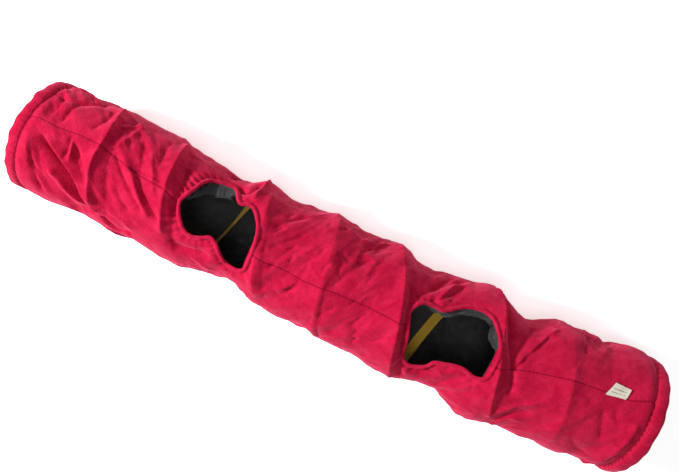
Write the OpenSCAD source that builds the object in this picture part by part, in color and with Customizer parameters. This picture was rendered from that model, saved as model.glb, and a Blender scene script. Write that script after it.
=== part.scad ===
// Collapsible agility tunnel for small pets: a spring wire coil between a plush cover and a
// slick lining, two round peepholes in the top, and a hemmed ring at each open end.
// It lies along X with the floor at Z = 0, and its middle above the origin.

/* [Tunnel] */
// Length from rim to rim
tunnel_length = 1300; // [1200:10:1560]
// Outer diameter of the cover over the coil
cover_d = 242; // [220:1:260]
// How far the floor flattens the round section
sole_sag = 2; // [1:0.25:3]

/* [Fabric] */
// Thickness of the plush cover
cover_t = 1.6; // [1.2:0.1:2]
// Thickness of the lining
lining_t = 0.6; // [0.4:0.1:0.8]
// Gap left between two layers of fabric
layer_gap = 0.3; // [0.2:0.05:0.4]
// Length of the band at each coil in which the tunnel curves
flex_w = 14; // [10:1:14]

/* [Coil] */
// Length of each of the two bays that hold a peephole, where the coil is stretched apart
peephole_bay_length = 189; // [180:1:200]
// Diameter of the spring wire
wire_d = 2.4; // [1.8:0.1:2.6]
// Radius of the coil, to the middle of the wire
coil_inset = 5.8; // [5.6:0.1:6.2]
// Width of the tape that holds the wire to the lining
tape_w = 22; // [14:1:24]
// Thickness of that tape
tape_t = 0.8; // [0.5:0.1:0.9]

/* [End hems] */
// Length of the hem that is folded over each end ring
hem_w = 26; // [24:1:32]
// Depth of the channel inside the hem
hem_channel = 6; // [5.8:0.1:6.4]
// Length of the crimped sleeve that joins the coil to its end ring
crimp_length = 14; // [10:1:18]

/* [Peepholes] */
// Clear diameter of a peephole
peephole_d = 150; // [90:1:150]
// Width of the folded hem round a peephole
peephole_hem_w = 6; // [4:0.5:6]

/* [Label] */
// Length of the label along the tunnel
label_length = 34; // [20:1:40]
// Width of the label
label_w = 24; // [12:1:28]
// Distance of the label's middle from the tunnel's middle
label_x = 558; // [530:1:570]
// Turn of the label's middle from the top of the tunnel
label_turn = 26; // [15:1:40]

/* [Hidden] */
bays = 8; // one turn of the coil each
left_peephole_bay = 3;
right_peephole_bay = 6;

cover_r = cover_d / 2;
axis_z = cover_r - sole_sag; // height of the tunnel's axis
half = tunnel_length / 2;
hem_x = half - hem_w; // where the last bay meets the end hem
plain_bay_length = (2 * hem_x - 2 * peephole_bay_length) / (bays - 2);
lining_r = cover_r - cover_t - layer_gap;
wire_r = cover_r - coil_inset;
tape_r = wire_r - wire_d / 2 - layer_gap; // outer face of the tape
mouth_r = cover_r - cover_t - hem_channel - cover_t; // clear radius of each open end
ring_x = half - 12; // plane of the end ring
ring_r = axis_z - cover_t - layer_gap - wire_d / 2; // middle of the end ring's wire
tail_gap = wire_d + 0.3; // from the end ring to the coil's tail beside it
tail_x = ring_x - tail_gap;
tail_ease = 2 * (tail_x - hem_x) / plain_bay_length; // turns in which the coil runs out flat
tail_hold = crimp_length / (2 * PI * ring_r); // turns that lie in the crimped sleeve
crimp_wall = 0.6;
crimp_bore = wire_d / 2 + 0.5;
segments = 36; // straight steps in one turn of the coil
wire_sides = 8;
label_t = 0.8;
fine = 96;
wire_steel = [0.55, 0.56, 0.58];
plush_red = [0.72, 0.03, 0.13];
lining_black = [0.03, 0.03, 0.035];
tape_olive = [0.42, 0.31, 0.04];

function holds_peephole(i) = i == left_peephole_bay || i == right_peephole_bay;

// Length of bay i, which is one turn of the coil, then x at its left end and at its middle
function bay_length(i) = holds_peephole(i) ? peephole_bay_length : plain_bay_length;
function bay_x(i) = i <= 1 ? -hem_x : bay_x(i - 1) + bay_length(i - 1);
function bay_mid(i) = bay_x(i) + bay_length(i) / 2;

// Section of the tunnel, flattened where it rests on the floor
module section(radius, floor_z) {
  intersection() {
    translate([0, axis_z]) circle(radius, $fn = fine);
    translate([-radius, floor_z]) square([2 * radius, 2 * radius]);
  }
}

// Tube of one fabric layer from x = start to x = end
module fabric_tube(start, end, radius, floor_z, thickness) {
  translate([start, 0, 0])
    rotate([90, 0, 90])
      linear_extrude(end - start)
        difference() {
          section(radius, floor_z);
          section(radius - thickness, floor_z + thickness);
        }
}

module peephole_cutter(bay, diameter) {
  translate([bay_mid(bay), 0, axis_z]) cylinder(h = cover_d, d = diameter, $fn = fine);
}

// A layer of one bay, between the flex bands or the hem at its ends
module bay_layer(bay, radius, floor_z, thickness) {
  start = bay_x(bay) + (bay == 1 ? 0 : flex_w / 2);
  end = bay_x(bay + 1) - (bay == bays ? 0 : flex_w / 2);
  difference() {
    fabric_tube(start, end, radius, floor_z, thickness);
    if (holds_peephole(bay))
      peephole_cutter(bay, peephole_d + 2 * peephole_hem_w);
  }
}

module cover_bay(bay) {
  color(plush_red) bay_layer(bay, cover_r, 0, cover_t);
}

module lining_bay(bay) {
  color(lining_black) bay_layer(bay, lining_r, cover_t + layer_gap, lining_t);
}

// The short band at a coil in which the fabric gathers on the inside of a curve
module flex_layer(band, radius, floor_z, thickness) {
  x = bay_x(band + 1);
  fabric_tube(x - flex_w / 2, x + flex_w / 2, radius, floor_z, thickness);
}

module cover_flex_band(band) {
  color(plush_red) flex_layer(band, cover_r, 0, cover_t);
}

module lining_flex_band(band) {
  color(lining_black) flex_layer(band, lining_r, cover_t + layer_gap, lining_t);
}

// Distance run along X by the coil's tail, this many turns after it leaves the last bay
function tail_run(turns) =
  let (t = min(turns, tail_ease)) plain_bay_length * (t - t * t / (2 * tail_ease));

// x and radius of the coil after a number of turns from the left end, tails included
function coil_x(turns) =
  turns < 0 ? -hem_x - tail_run(-turns)
  : turns >= bays ? hem_x + tail_run(turns - bays)
  : let (bay = floor(turns) + 1) bay_x(bay) + (turns - bay + 1) * bay_length(bay);
function past_end(turns) = max(0, -turns, turns - bays) / tail_ease;
function coil_r(turns) = wire_r + (ring_r - wire_r) * min(1, past_end(turns));

// The coil's direction away from the axis, and its centre line. It starts at the top.
function outward(turns) = [0, -sin(360 * turns), cos(360 * turns)];
function coil_point(turns) =
  [coil_x(turns), 0, axis_z] + coil_r(turns) * outward(turns);
function unit(v) = v / norm(v);
function along(turns) = unit(coil_point(turns + 0.001) - coil_point(turns - 0.001));
function across(turns) = unit(cross(along(turns), outward(turns)));

// Places along the coil at which the wire and the tape both bend a little
function coil_steps(from, to) = concat(
  [from], [for (k = [floor(from * segments) + 1:ceil(to * segments) - 1]) k / segments], [to]
);

// Closed skin over rings of equal size, with a flat face at each end
module skin(rings) {
  sides = len(rings[0]);
  last = len(rings) - 1;
  walls = [
    for (k = [0:last - 1], s = [0:sides - 1])
      let (n = (s + 1) % sides)
        [k * sides + s, k * sides + n, (k + 1) * sides + n, (k + 1) * sides + s]
  ];
  first_face = [for (s = [sides - 1:-1:0]) s];
  last_face = [for (s = [0:sides - 1]) last * sides + s];
  polyhedron([for (ring = rings, p = ring) p], concat([first_face], walls, [last_face]));
}

// One turn of the spring wire. The first and last turns run on into the end hems.
module spring_wire_turn(turn) {
  tail = tail_ease + tail_hold;
  from = turn == 1 ? -tail : turn - 1;
  to = turn == bays ? bays + tail : turn;
  color(wire_steel) skin([
    for (t = coil_steps(from, to))
      [for (s = [0:wire_sides - 1])
        let (a = 360 * s / wire_sides)
          coil_point(t) + wire_d / 2 * (cos(a) * outward(t) + sin(a) * across(t))]
  ]);
}

// One turn of the woven tape that lies under the wire and is sewn to the lining
module wire_tape_turn(turn) {
  trim = (tape_w / 2 + 1.5) / plain_bay_length; // keeps the first and last turns clear of the hems
  from = turn - 1 + (turn == 1 ? trim : 0);
  to = turn - (turn == bays ? trim : 0);
  color(tape_olive) skin([
    for (t = coil_steps(from, to))
      let (middle = [coil_x(t), 0, axis_z])
        [for (corner = [[-1, 0], [-1, 1], [1, 1], [1, 0]])
          middle + [corner.x * tape_w / 2, 0, 0] + (tape_r - corner.y * tape_t) * outward(t)]
  ]);
}

// Cover turned in over the end ring: outer leg, rim and inner leg round an open channel
module right_end_hem() {
  color(plush_red)
    difference() {
      translate([hem_x, 0, 0]) rotate([90, 0, 90]) linear_extrude(hem_w) section(cover_r, 0);
      translate([hem_x, 0, 0])
        rotate([90, 0, 90])
          linear_extrude(hem_w - cover_t)
            difference() {
              section(cover_r - cover_t, cover_t);
              translate([0, axis_z]) circle(mouth_r + cover_t, $fn = fine);
            }
      translate([0, 0, axis_z]) rotate([0, 90, 0]) cylinder(h = half + 1, r = mouth_r, $fn = fine);
    }
}

module right_end_ring() {
  color(wire_steel)
    translate([ring_x, 0, axis_z])
      rotate([0, 90, 0])
        rotate_extrude($fn = fine) translate([ring_r, 0]) circle(d = wire_d, $fn = 24);
}

// Oval sleeve round the end ring and the coil's tail beside it
module right_crimp_sleeve() {
  turned = 360 * (tail_ease + tail_hold / 2);
  chord_drop = ring_r * (1 - cos(180 * tail_hold)) / 2;
  color(wire_steel)
    translate([0, 0, axis_z])
      rotate([turned, 0, 0])
        translate([0, 0, ring_r - chord_drop])
          rotate([90, 0, 0])
            linear_extrude(crimp_length - 1, center = true)
              difference() {
                hull()
                  for (x = [tail_x, ring_x])
                    translate([x, 0]) circle(crimp_bore + crimp_wall, $fn = 32);
                for (x = [tail_x, ring_x])
                  translate([x, 0]) circle(crimp_bore, $fn = 32);
              }
}

// The left end is the right end turned half round
module left_end_hem() {
  rotate([0, 0, 180]) right_end_hem();
}

module left_end_ring() {
  rotate([0, 0, 180]) right_end_ring();
}

module left_crimp_sleeve() {
  rotate([0, 0, 180]) right_crimp_sleeve();
}

// Folded edge of a peephole, through the cover and the lining
module peephole_hem(bay) {
  depth = cover_t + layer_gap + lining_t + 1;
  color(plush_red)
    intersection() {
      fabric_tube(bay_x(bay), bay_x(bay + 1), cover_r, 0, depth);
      difference() {
        peephole_cutter(bay, peephole_d + 2 * peephole_hem_w);
        peephole_cutter(bay, peephole_d);
      }
    }
}

// Woven label caught in the seam, lying on the cover
module side_label() {
  lift = 0.2;
  color("ivory")
    translate([label_x - label_length / 2, 0, axis_z])
      rotate([-label_turn, 0, 0])
        rotate([90, 0, 90])
          linear_extrude(label_length)
            intersection() {
              difference() {
                circle(cover_r + lift + label_t, $fn = fine);
                circle(cover_r + lift, $fn = fine);
              }
              translate([-label_w / 2, 0]) square([label_w, cover_d]);
            }
}

for (i = [1:bays]) {
  cover_bay(i);
  lining_bay(i);
  spring_wire_turn(i);
  wire_tape_turn(i);
}
for (i = [1:bays - 1]) {
  cover_flex_band(i);
  lining_flex_band(i);
}
left_end_hem();
right_end_hem();
left_end_ring();
right_end_ring();
left_crimp_sleeve();
right_crimp_sleeve();
peephole_hem(left_peephole_bay);  // left_peephole_hem
peephole_hem(right_peephole_bay);  // right_peephole_hem
side_label();
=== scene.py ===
import math

import bmesh
import bpy
import numpy as np
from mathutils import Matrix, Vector


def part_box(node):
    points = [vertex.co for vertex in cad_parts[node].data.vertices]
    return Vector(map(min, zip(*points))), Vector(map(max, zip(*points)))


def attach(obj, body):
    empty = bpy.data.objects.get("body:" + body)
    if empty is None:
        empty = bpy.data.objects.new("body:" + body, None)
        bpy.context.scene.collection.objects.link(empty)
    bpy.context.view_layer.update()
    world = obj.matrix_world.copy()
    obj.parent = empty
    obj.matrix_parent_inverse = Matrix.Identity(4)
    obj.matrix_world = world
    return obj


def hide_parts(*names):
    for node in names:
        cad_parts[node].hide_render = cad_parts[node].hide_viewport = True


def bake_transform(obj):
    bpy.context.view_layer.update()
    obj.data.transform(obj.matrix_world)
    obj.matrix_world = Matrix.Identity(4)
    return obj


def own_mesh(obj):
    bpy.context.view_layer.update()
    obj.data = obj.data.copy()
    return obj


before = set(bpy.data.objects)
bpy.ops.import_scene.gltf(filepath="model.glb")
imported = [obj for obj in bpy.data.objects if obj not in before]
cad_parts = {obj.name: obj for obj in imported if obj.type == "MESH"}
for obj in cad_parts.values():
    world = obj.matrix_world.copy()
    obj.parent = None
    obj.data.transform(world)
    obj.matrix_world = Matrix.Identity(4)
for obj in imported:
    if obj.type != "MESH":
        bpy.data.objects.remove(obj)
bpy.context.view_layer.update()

# ---------------------------------------------------------------- camera
# A camera almost straight above the tunnel, turned so that the tunnel runs
# down to the right across the picture.
camera = bpy.data.objects.new("camera", bpy.data.cameras.new("camera"))
bpy.context.collection.objects.link(camera)
camera.location = (0.0156, 0.0945, 1.3366)
camera.rotation_euler = (0, math.radians(1.807), math.radians(26.038))
camera.data.lens = 32.34
camera.data.sensor_width = 36
camera.data.clip_start = 0.01
bpy.context.scene.camera = camera

# ---------------------------------------------------------------- floor and light
# A plain white studio sheet under soft lamps: a strong one low to the left, a
# weak one straight above, and pale light from all round.
scene = bpy.context.scene
scene.view_settings.view_transform = "Standard"
scene.view_settings.exposure = 0.0

FLOOR_SIZE = 30.0
bm = bmesh.new()
bmesh.ops.create_grid(bm, x_segments=2, y_segments=2, size=FLOOR_SIZE / 2)
mesh = bpy.data.meshes.new("floor")
bm.to_mesh(mesh)
bm.free()
floor = bpy.data.objects.new("floor", mesh)
bpy.context.collection.objects.link(floor)
floor_paint = bpy.data.materials.new("studio_floor")
floor_paint.use_nodes = True
shader = floor_paint.node_tree.nodes["Principled BSDF"]
shader.inputs["Base Color"].default_value = (0.84, 0.84, 0.845, 1)
shader.inputs["Roughness"].default_value = 0.9
shader.inputs["Specular IOR Level"].default_value = 0.2
shader.inputs["Emission Color"].default_value = (1, 1, 1, 1)
shader.inputs["Emission Strength"].default_value = 0.60
mesh.materials.append(floor_paint)

world = bpy.data.worlds.new("studio")
scene.world = world
world.use_nodes = True
world.node_tree.nodes["Background"].inputs["Color"].default_value = (1, 0.985, 0.98, 1)
world.node_tree.nodes["Background"].inputs["Strength"].default_value = 0.32


def studio_lamp(name, place, target, size, power):
    lamp = bpy.data.objects.new(name, bpy.data.lights.new(name, "AREA"))
    bpy.context.collection.objects.link(lamp)
    lamp.location = place
    lamp.rotation_euler = (Vector(target) - Vector(place)).to_track_quat("-Z", "Y").to_euler()
    lamp.data.size = size
    lamp.data.energy = power


studio_lamp("key_lamp", (-2.75, -0.58, 2.1), (0.03, 0, 0.1), 0.45, 194)
studio_lamp("top_lamp", (0.0, -0.15, 2.4), (0.0, 0, 0.1), 0.5, 11)

# ---------------------------------------------------------------- plush cover
# A tube of short-pile plush, sewn shut by one seam along the top and stretched
# over the coil: it stands proud at each turn and hangs in creases between them.
MM = 0.001
BAYS = 8
HOLE_BAYS = (3, 6)
AXIS_Z = 119.0  # mm, height of the tunnel's axis
COVER_R = 119.5
COVER_THICK = 1.5
FLEX = 14.0  # mm, width of the band of cover at each turn of the coil
LAP = 2.0  # mm that the cover runs on under each end hem
SOLE_Z = 0.7  # mm above the floor


def middle_x(node):
    """Middle of a node along the tunnel, in mm."""
    low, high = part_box(node)
    return (low[0] + high[0]) / 2 / MM


hem_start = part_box("right_end_hem")[0][0] / MM
stations = np.array(
    [-hem_start]
    + [middle_x(f"cover_flex_band_{k}") for k in range(1, BAYS)]
    + [hem_start]
)

# Lines of the cloth round the tunnel and along it; each cut between two pieces is a line
CELL = 2.4  # mm
cuts = [-hem_start - LAP, -hem_start]
for x in stations[1:-1]:
    cuts += [x - FLEX / 2, x + FLEX / 2]
cuts += [hem_start, hem_start + LAP]


def lines_between(marks, cell):
    """Even lines about a cell apart, with one at each mark."""
    lines = [marks[0]]
    for start, end in zip(marks, marks[1:]):
        steps = max(1, round((end - start) / cell))
        lines += list(start + (end - start) * np.arange(1, steps + 1) / steps)
    return np.array(lines)


cloth_x = lines_between(cuts, CELL)
ROUND = int(2 * math.pi * COVER_R / CELL / 2) * 2
cloth_a = np.linspace(-math.pi, math.pi, ROUND + 1)  # 0 is the top, positive towards +Y


def row_at(x):
    """Number of the line of the cloth at x."""
    return int(np.argmin(abs(cloth_x - x)))


# How far the two sides of the tunnel stand out from or in from a straight tube, every 20 mm
SIDE_X = np.arange(-640, 641, 20)
LEFT_SIDE = np.array([
    -3.6, -1.9, -2.1, -2.2, -1.4, -0.6, 0.5, 2.6, -1.2, -0.5, -1.0, -2.5, -2.9, -1.2, -5.9,
    -13.6, -14.5, -15.2, -18.5, -22.5, -24.0, -21.2, -6.0, -3.4, -10.6, -16.5, -15.5, -11.2,
    -9.6, -7.2, 0.7, -3.9, -5.0, -10.6, -9.9, -8.2, -4.9, 0.7, -5.0, -17.3, -19.6, -18.9,
    -13.7, -9.9, -6.9, -4.9, 3.4, 7.0, 2.1, -11.1, -20.0, -26.7, -20.9, -9.5, 2.0, 5.4, 2.6,
    3.2, 3.0, -0.2, 9.5, 16.0, 18.0, 18.2, 17.5,
])
RIGHT_SIDE = np.array([
    -7.7, -4.1, -4.0, -4.8, -5.4, -9.2, -11.3, -13.4, -14.6, -10.9, -5.9, -6.0, -8.1, -10.8,
    -9.1, -6.3, -4.6, -6.0, -3.5, -10.5, -12.1, -15.0, -21.5, -26.9, -21.1, -14.2, -4.6, -3.8,
    -2.7, -0.8, -1.5, -1.9, -4.0, 2.2, 0.6, 1.2, 2.3, -1.2, 1.6, 6.9, 8.8, 6.3, 7.0, -0.8,
    -8.8, -9.7, -12.9, -1.6, 5.1, 14.5, 14.9, 10.1, 1.2, -1.2, -2.1, -2.1, -3.4, -4.7, -3.4,
    -3.4, -11.9, -12.4, -15.5, -15.8, -17.9,
])


def softened(values, spread):
    """Values every 20 mm, averaged with their neighbours over the spread in mm."""
    apart = (SIDE_X[:, None] - SIDE_X[None, :]) / spread
    share = np.exp(-0.5 * apart**2)
    return (share * values).sum(1) / share.sum(1)


drift = softened((LEFT_SIDE - RIGHT_SIDE) / 2, 55)
drift_ends = np.clip(drift, -12, 17.2)


def lie(x):
    """How far the tunnel's middle line lies off straight at x, in mm."""
    return np.interp(x, SIDE_X, drift_ends)


left_dent = softened(LEFT_SIDE - drift_ends, 9)
right_dent = softened(RIGHT_SIDE + drift_ends, 9)


def turns_at(x):
    """Turns of the coil from the left end to x, at the top of the tunnel."""
    return np.interp(x, stations, np.arange(BAYS + 1.0))


def crumple(long, short, turn, seed):
    """Smooth random field over the cloth, mostly within -1 and 1: creases of this length and
    width in mm, turned this many degrees."""
    noise = np.random.default_rng(seed).standard_normal((len(cloth_x), ROUND))
    kx = np.fft.fftfreq(len(cloth_x), CELL)[:, None]
    ka = np.fft.fftfreq(ROUND, CELL)[None, :]
    c, s = math.cos(math.radians(turn)), math.sin(math.radians(turn))
    along, across = kx * c + ka * s, -kx * s + ka * c
    keep = np.exp(-((along * long) ** 2 + (across * short) ** 2) * 4)
    field = np.fft.ifft2(np.fft.fft2(noise) * keep).real
    field /= field.std() * 2
    return np.concatenate([field, field[:, :1]], 1)


def smooth_line(points, closed=False, step=5.0):
    """A smooth line through the points, given again every few mm."""
    p = np.array(points, float)
    n = len(p)
    out = []
    for k in range(n if closed else n - 1):
        if closed:
            p0, p1, p2, p3 = p[(k - 1) % n], p[k], p[(k + 1) % n], p[(k + 2) % n]
        else:
            p0, p1, p2, p3 = p[max(k - 1, 0)], p[k], p[k + 1], p[min(k + 2, n - 1)]
        for t in np.linspace(0, 1, max(2, int(np.linalg.norm(p2 - p1) / step) + 1))[:-1]:
            out.append(0.5 * (2 * p1 + (p2 - p0) * t + (2 * p0 - 5 * p1 + 4 * p2 - p3) * t**2
                              + (3 * p1 - p0 - 3 * p2 + p3) * t**3))
    if not closed:
        out.append(p[-1])
    return np.array(out)


def from_line(line, x, v, closed=False):
    """Signed distance from a line to places (x, v), and how far along it the nearest point is."""
    ends = np.roll(line, -1, 0) if closed else line[1:]
    starts = line if closed else line[:-1]
    best = np.full(x.shape, 1e9)
    side, run = np.zeros(x.shape), np.zeros(x.shape)
    gone = 0.0
    for (x0, v0), (x1, v1) in zip(starts, ends):
        dx, dv = x1 - x0, v1 - v0
        length = math.hypot(dx, dv) + 1e-9
        t = np.clip(((x - x0) * dx + (v - v0) * dv) / length**2, 0, 1)
        wx, wv = x - x0 - t * dx, v - v0 - t * dv
        d = np.hypot(wx, wv)
        near = d < best
        best = np.where(near, d, best)
        side = np.where(near, np.sign(dx * wv - dv * wx), side)
        run = np.where(near, gone + t * length, run)
        gone += length
    return best * np.where(side == 0, 1, side), run, gone


def spot(x, degrees):
    """Place on the cloth (x, mm round from the top) that lies this far round a straight tube.

    The tunnel's own drift is taken off it, fully up to 60 degrees and not at all from 80."""
    across = math.sin(math.radians(degrees)) - float(lie(x)) / COVER_R
    side = math.degrees(math.asin(max(-0.999, min(0.999, across))))
    share = min(1.0, max(0.0, (80 - abs(degrees)) / 20))
    return x, COVER_R * math.radians(share * side + (1 - share) * degrees)


# Radius of the cover: round at the turns of the coil, slack between them
X, A = np.meshgrid(cloth_x, cloth_a, indexing="ij")
V = COVER_R * A
phase = turns_at(X) + A / (2 * math.pi)
gap = abs((phase + 0.5) % 1 - 0.5) * 2  # 0 on the coil, 1 half way between two turns
BAY_SAG = [3.0, 3.5, 9.0, 7.0, 7.0, 10.5, 9.0, 5.5]  # mm, how far each bay hangs in
bay_sag = np.interp(cloth_x, (stations[1:] + stations[:-1]) / 2, BAY_SAG)[:, None]
hang = np.sin(gap * math.pi / 2) ** 1.15
side_share = abs(np.sin(A)) ** 2.6
side_dent = np.where(A > 0, np.interp(cloth_x, SIDE_X, left_dent)[:, None],
                     np.interp(cloth_x, SIDE_X, right_dent)[:, None])
sole_share = np.clip((-np.cos(A) - 0.3) / 0.5, 0, 1)
radius = COVER_R + side_share * side_dent - (1 - side_share) * bay_sag * hang * (1 - 0.7 * sole_share)

# Folds: the line as (x, degrees from the top), height, and width before and after the line
FOLDS = [
    # deep fold of the first bay, with its sharp upper lip and its lower lip
    ([(-591, 5), (-554, -7), (-527, -15), (-498, -25), (-468, -40), (-452, -48)], -20.0, 20, 3.2),
    ([(-585, 4), (-551, -5), (-524, -12), (-495, -22), (-464, -38), (-450, -46)], 4.5, 3, 15),
    ([(-561, -23), (-535, -29), (-505, -39), (-484, -45), (-461, -49)], 5.5, 9, 7),
    ([(-539, 15), (-520, 7), (-494, -6), (-474, -19)], -3.2, 6, 5),
    ([(-540, 14), (-534, 6), (-531, -8)], -3.0, 5, 3),
    ([(-536, 15), (-528, 6), (-520, -8)], 3.4, 5, 10),
    ([(-524, 9), (-505, -5), (-479, -19)], -2.6, 10, 5),
    # second turn of the coil and the step beside it
    ([(-502, 75), (-485, 37), (-481, 16), (-480, -1), (-472, -18), (-457, -36)], 4.2, 12, 6),
    ([(-484, 57), (-464, 33), (-459, 13), (-449, -5), (-438, -23), (-427, -44)], -3.2, 13, 26),
    # first bay beside the end hem
    ([(-602, -11), (-594, -21), (-586, -31), (-576, -42), (-566, -53)], -2.8, 7, 6),
    ([(-620, 5), (-607, -9), (-596, -26)], 1.6, 7, 7),
    ([(-591, -8), (-578, -22), (-565, -34)], -1.6, 8, 7),
    ([(-629, 50), (-584, 48), (-556, 57), (-530, 69)], -2.2, 6, 7),
    ([(-570, 22), (-573, 38), (-568, 53)], -2.8, 6, 6),
    ([(-515, 28), (-504, 46), (-511, 63)], -2.6, 7, 7),
    ([(-612, 60), (-598, 40), (-600, 22)], -1.6, 7, 7),
    # second bay
    ([(-476, 46), (-462, 55), (-446, 63)], 2.5, 6, 6),
    ([(-446, 63), (-451, 37), (-462, 21)], 2.4, 8, 7),
    ([(-408, 11), (-382, -6), (-345, -21)], 3.4, 9, 7),
    ([(-430, -8), (-408, -20), (-383, -28)], -2.8, 7, 8),
    ([(-445, -46), (-417, -58), (-375, -57)], -5.0, 6, 12),
    ([(-455, 20), (-430, 6), (-392, -9), (-360, -21)], -2.8, 6, 8),
    ([(-417, 15), (-384, 1), (-349, -13), (-321, -23)], -2.8, 6, 8),
    ([(-410, 14), (-376, 14), (-341, 13)], -1.6, 5, 5),
    ([(-440, -36), (-405, -38), (-372, -45)], 2.4, 8, 8),
    ([(-399, 37), (-374, 16), (-351, -2)], 2.0, 9, 7),
    ([(-425, 45), (-405, 24), (-395, 10)], -2.2, 9, 9),
    ([(-383, 60), (-380, 40), (-368, 24)], -2.4, 8, 8),
    # third turn and the step beside it
    ([(-361, 73), (-351, 39), (-343, 17), (-332, -5), (-312, -31)], 3.2, 10, 6),
    ([(-340, 61), (-325, 31), (-316, 11), (-307, -9), (-289, -43)], -3.6, 10, 18),
    # round the left peephole
    ([(-330, 40), (-318, 24), (-312, 12)], -3.5, 7, 7),
    ([(-292, -42), (-256, -38), (-218, -34)], -6.0, 10, 12),
    ([(-189, 82), (-190, 51), (-192, 37)], 5.0, 7, 7),
    ([(-228, 52), (-212, 46), (-200, 50), (-196, 66)], -5.0, 9, 7),
    ([(-260, 60), (-248, 78)], -4.0, 12, 12),
    # fourth turn, fourth bay
    ([(-168, 60), (-160, 36), (-152, 14), (-138, -11), (-116, -52)], 2.9, 10, 17),
    ([(-160, 70), (-146, 38), (-136, 14), (-120, -12), (-100, -44)], -1.2, 7, 22),
    ([(-133, 20), (-108, 38), (-82, 52)], -3.0, 6, 8),
    ([(-52, -30), (-48, -14), (-43, 13)], -2.6, 5, 8),
    ([(-121, 2), (-97, 16), (-71, 29)], -2.4, 8, 9),
    ([(-103, -4), (-85, 6), (-62, 14)], -2.0, 9, 8),
    ([(-100, -20), (-80, -34), (-50, -44)], -1.8, 10, 10),
    # fifth turn, soft, with a crease beside its lower part; fifth bay
    ([(-39, 81), (-26, 50), (-14, 13), (-5, -8), (20, -80)], 2.6, 14, 16),
    ([(2, 2), (8, -18), (16, -40), (32, -80)], -2.4, 6, 12),
    ([(10, -6), (32, 17), (55, 38)], -3.2, 9, 11),
    ([(-7, 27), (30, 25), (59, 37)], -2.4, 6, 8),
    ([(-12, 56), (29, 54), (55, 58)], 2.2, 8, 8),
    ([(36, 44), (60, 56), (81, 72)], -3.6, 10, 10),
    ([(90, -10), (80, -30), (84, -56)], -1.8, 10, 10),
    # sixth turn and the valley on its right
    ([(98, 79), (121, 38), (146, 0), (168, -40), (190, -80)], 3.4, 12, 7),
    ([(140, 30), (153, 12), (164, -11), (184, -42), (202, -67)], -5.0, 6, 8),
    # round the right peephole
    ([(223, 62), (205, 39), (194, 26)], 3.0, 7, 7),
    ([(214, 70), (190, 46), (176, 36)], -4.0, 8, 8),
    ([(153, 19), (175, 33), (204, 52), (242, 74)], -3.6, 6, 8),
    ([(184, 24), (212, 38), (242, 62)], -3.2, 5, 7),
    ([(240, 56), (226, 42), (218, 33)], -2.2, 6, 6),
    ([(200, -52), (235, -46), (262, -38)], -4.0, 10, 12),
    # seventh turn and the deep valley on its right
    ([(300, 80), (316, 56), (328, 29), (341, 5), (359, -26), (382, -59)], 4.0, 10, 6),
    ([(322, 66), (333, 46), (347, 24), (367, 2), (386, -24)], -7.0, 6, 9),
    ([(432, 62), (412, 46), (394, 29), (372, 5)], 3.2, 6, 6),
    ([(420, 51), (405, 36), (391, 24), (373, 2)], -3.2, 6, 5),
    ([(389, 55), (372, 29), (361, 9)], -3.2, 5, 6),
    ([(378, -51), (392, -40), (406, -30), (439, -16)], 2.8, 7, 7),
    ([(400, -75), (408, -50), (433, -45)], 2.4, 7, 7),
    ([(395, -62), (414, -40), (440, -28)], -2.8, 7, 7),
    # last bay
    ([(496, 77), (486, 57), (485, 45)], -3.4, 7, 8),
    ([(470, 30), (478, 5), (490, -20), (500, -50)], 1.6, 16, 12),
    ([(544, 6), (554, -7), (571, -24)], -2.6, 9, 9),
    ([(565, 12), (572, 2), (590, -6)], -1.8, 7, 7),
    ([(520, -30), (550, -44), (590, -46)], -1.8, 12, 12),
    ([(606, 8), (605, -14), (601, -34), (598, -60), (600, -85)], 3.2, 14, 7),
]


def add_fold(field, line, height, before, after, taper=16.0, opening=16.0):
    """Raises (or sinks) a field along a line, with its own width on each side, growing from
    nothing over the opening and fading over the taper at the far end, all in mm."""
    reach = 3 * max(before, after)
    rows = (cloth_x > line[:, 0].min() - reach) & (cloth_x < line[:, 0].max() + reach)
    cols = (V[0] > line[:, 1].min() - reach) & (V[0] < line[:, 1].max() + reach)
    if not rows.any() or not cols.any():
        return
    place = np.ix_(rows, cols)
    d, run, length = from_line(line, X[place], V[place])
    off = np.hypot(np.where(d > 0, d / after, d / before), 0.1) - 0.1
    shape = 0.78 * np.exp(-1.45 * off) + 0.22 * np.exp(-(off**2))
    ends = np.minimum(run / min(opening, length / 2), (length - run) / min(taper, length / 2))
    ends = np.clip(ends, 0, 1)
    start = line[0, 0] + line[0, 1]
    waver = 0.22 * np.sin(run / 13 + start) + 0.14 * np.sin(run / 5.5 + 2 * start)
    uneven = 1 + min(1, 3.5 / abs(height)) * waver
    field[place] += height * shape * uneven * (0.1 + 0.9 * np.sin(ends * math.pi / 2))


FOLD_GAIN, MIDDLE_GAIN = 1.9, 1.55  # the middle bays are drawn smoother
folds = np.zeros(X.shape)
quiet = np.ones(X.shape)  # lower beside the strong folds of the left end
for points, height, before, after in FOLDS:
    line = smooth_line([spot(x, a) for x, a in points])
    deep = height < -12
    gain = MIDDLE_GAIN if -170 < line[:, 0].mean() < 150 else FOLD_GAIN
    add_fold(folds, line, height * gain, before, after, opening=75 if deep else 16)
    if abs(height) >= 4 and line[:, 0].max() < -100:
        calmed, reach = (0.92, 26) if deep else (0.6, 17)
        quiet *= 1 - calmed * np.exp(-((from_line(line, X, V)[0] / reach) ** 2))

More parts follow.
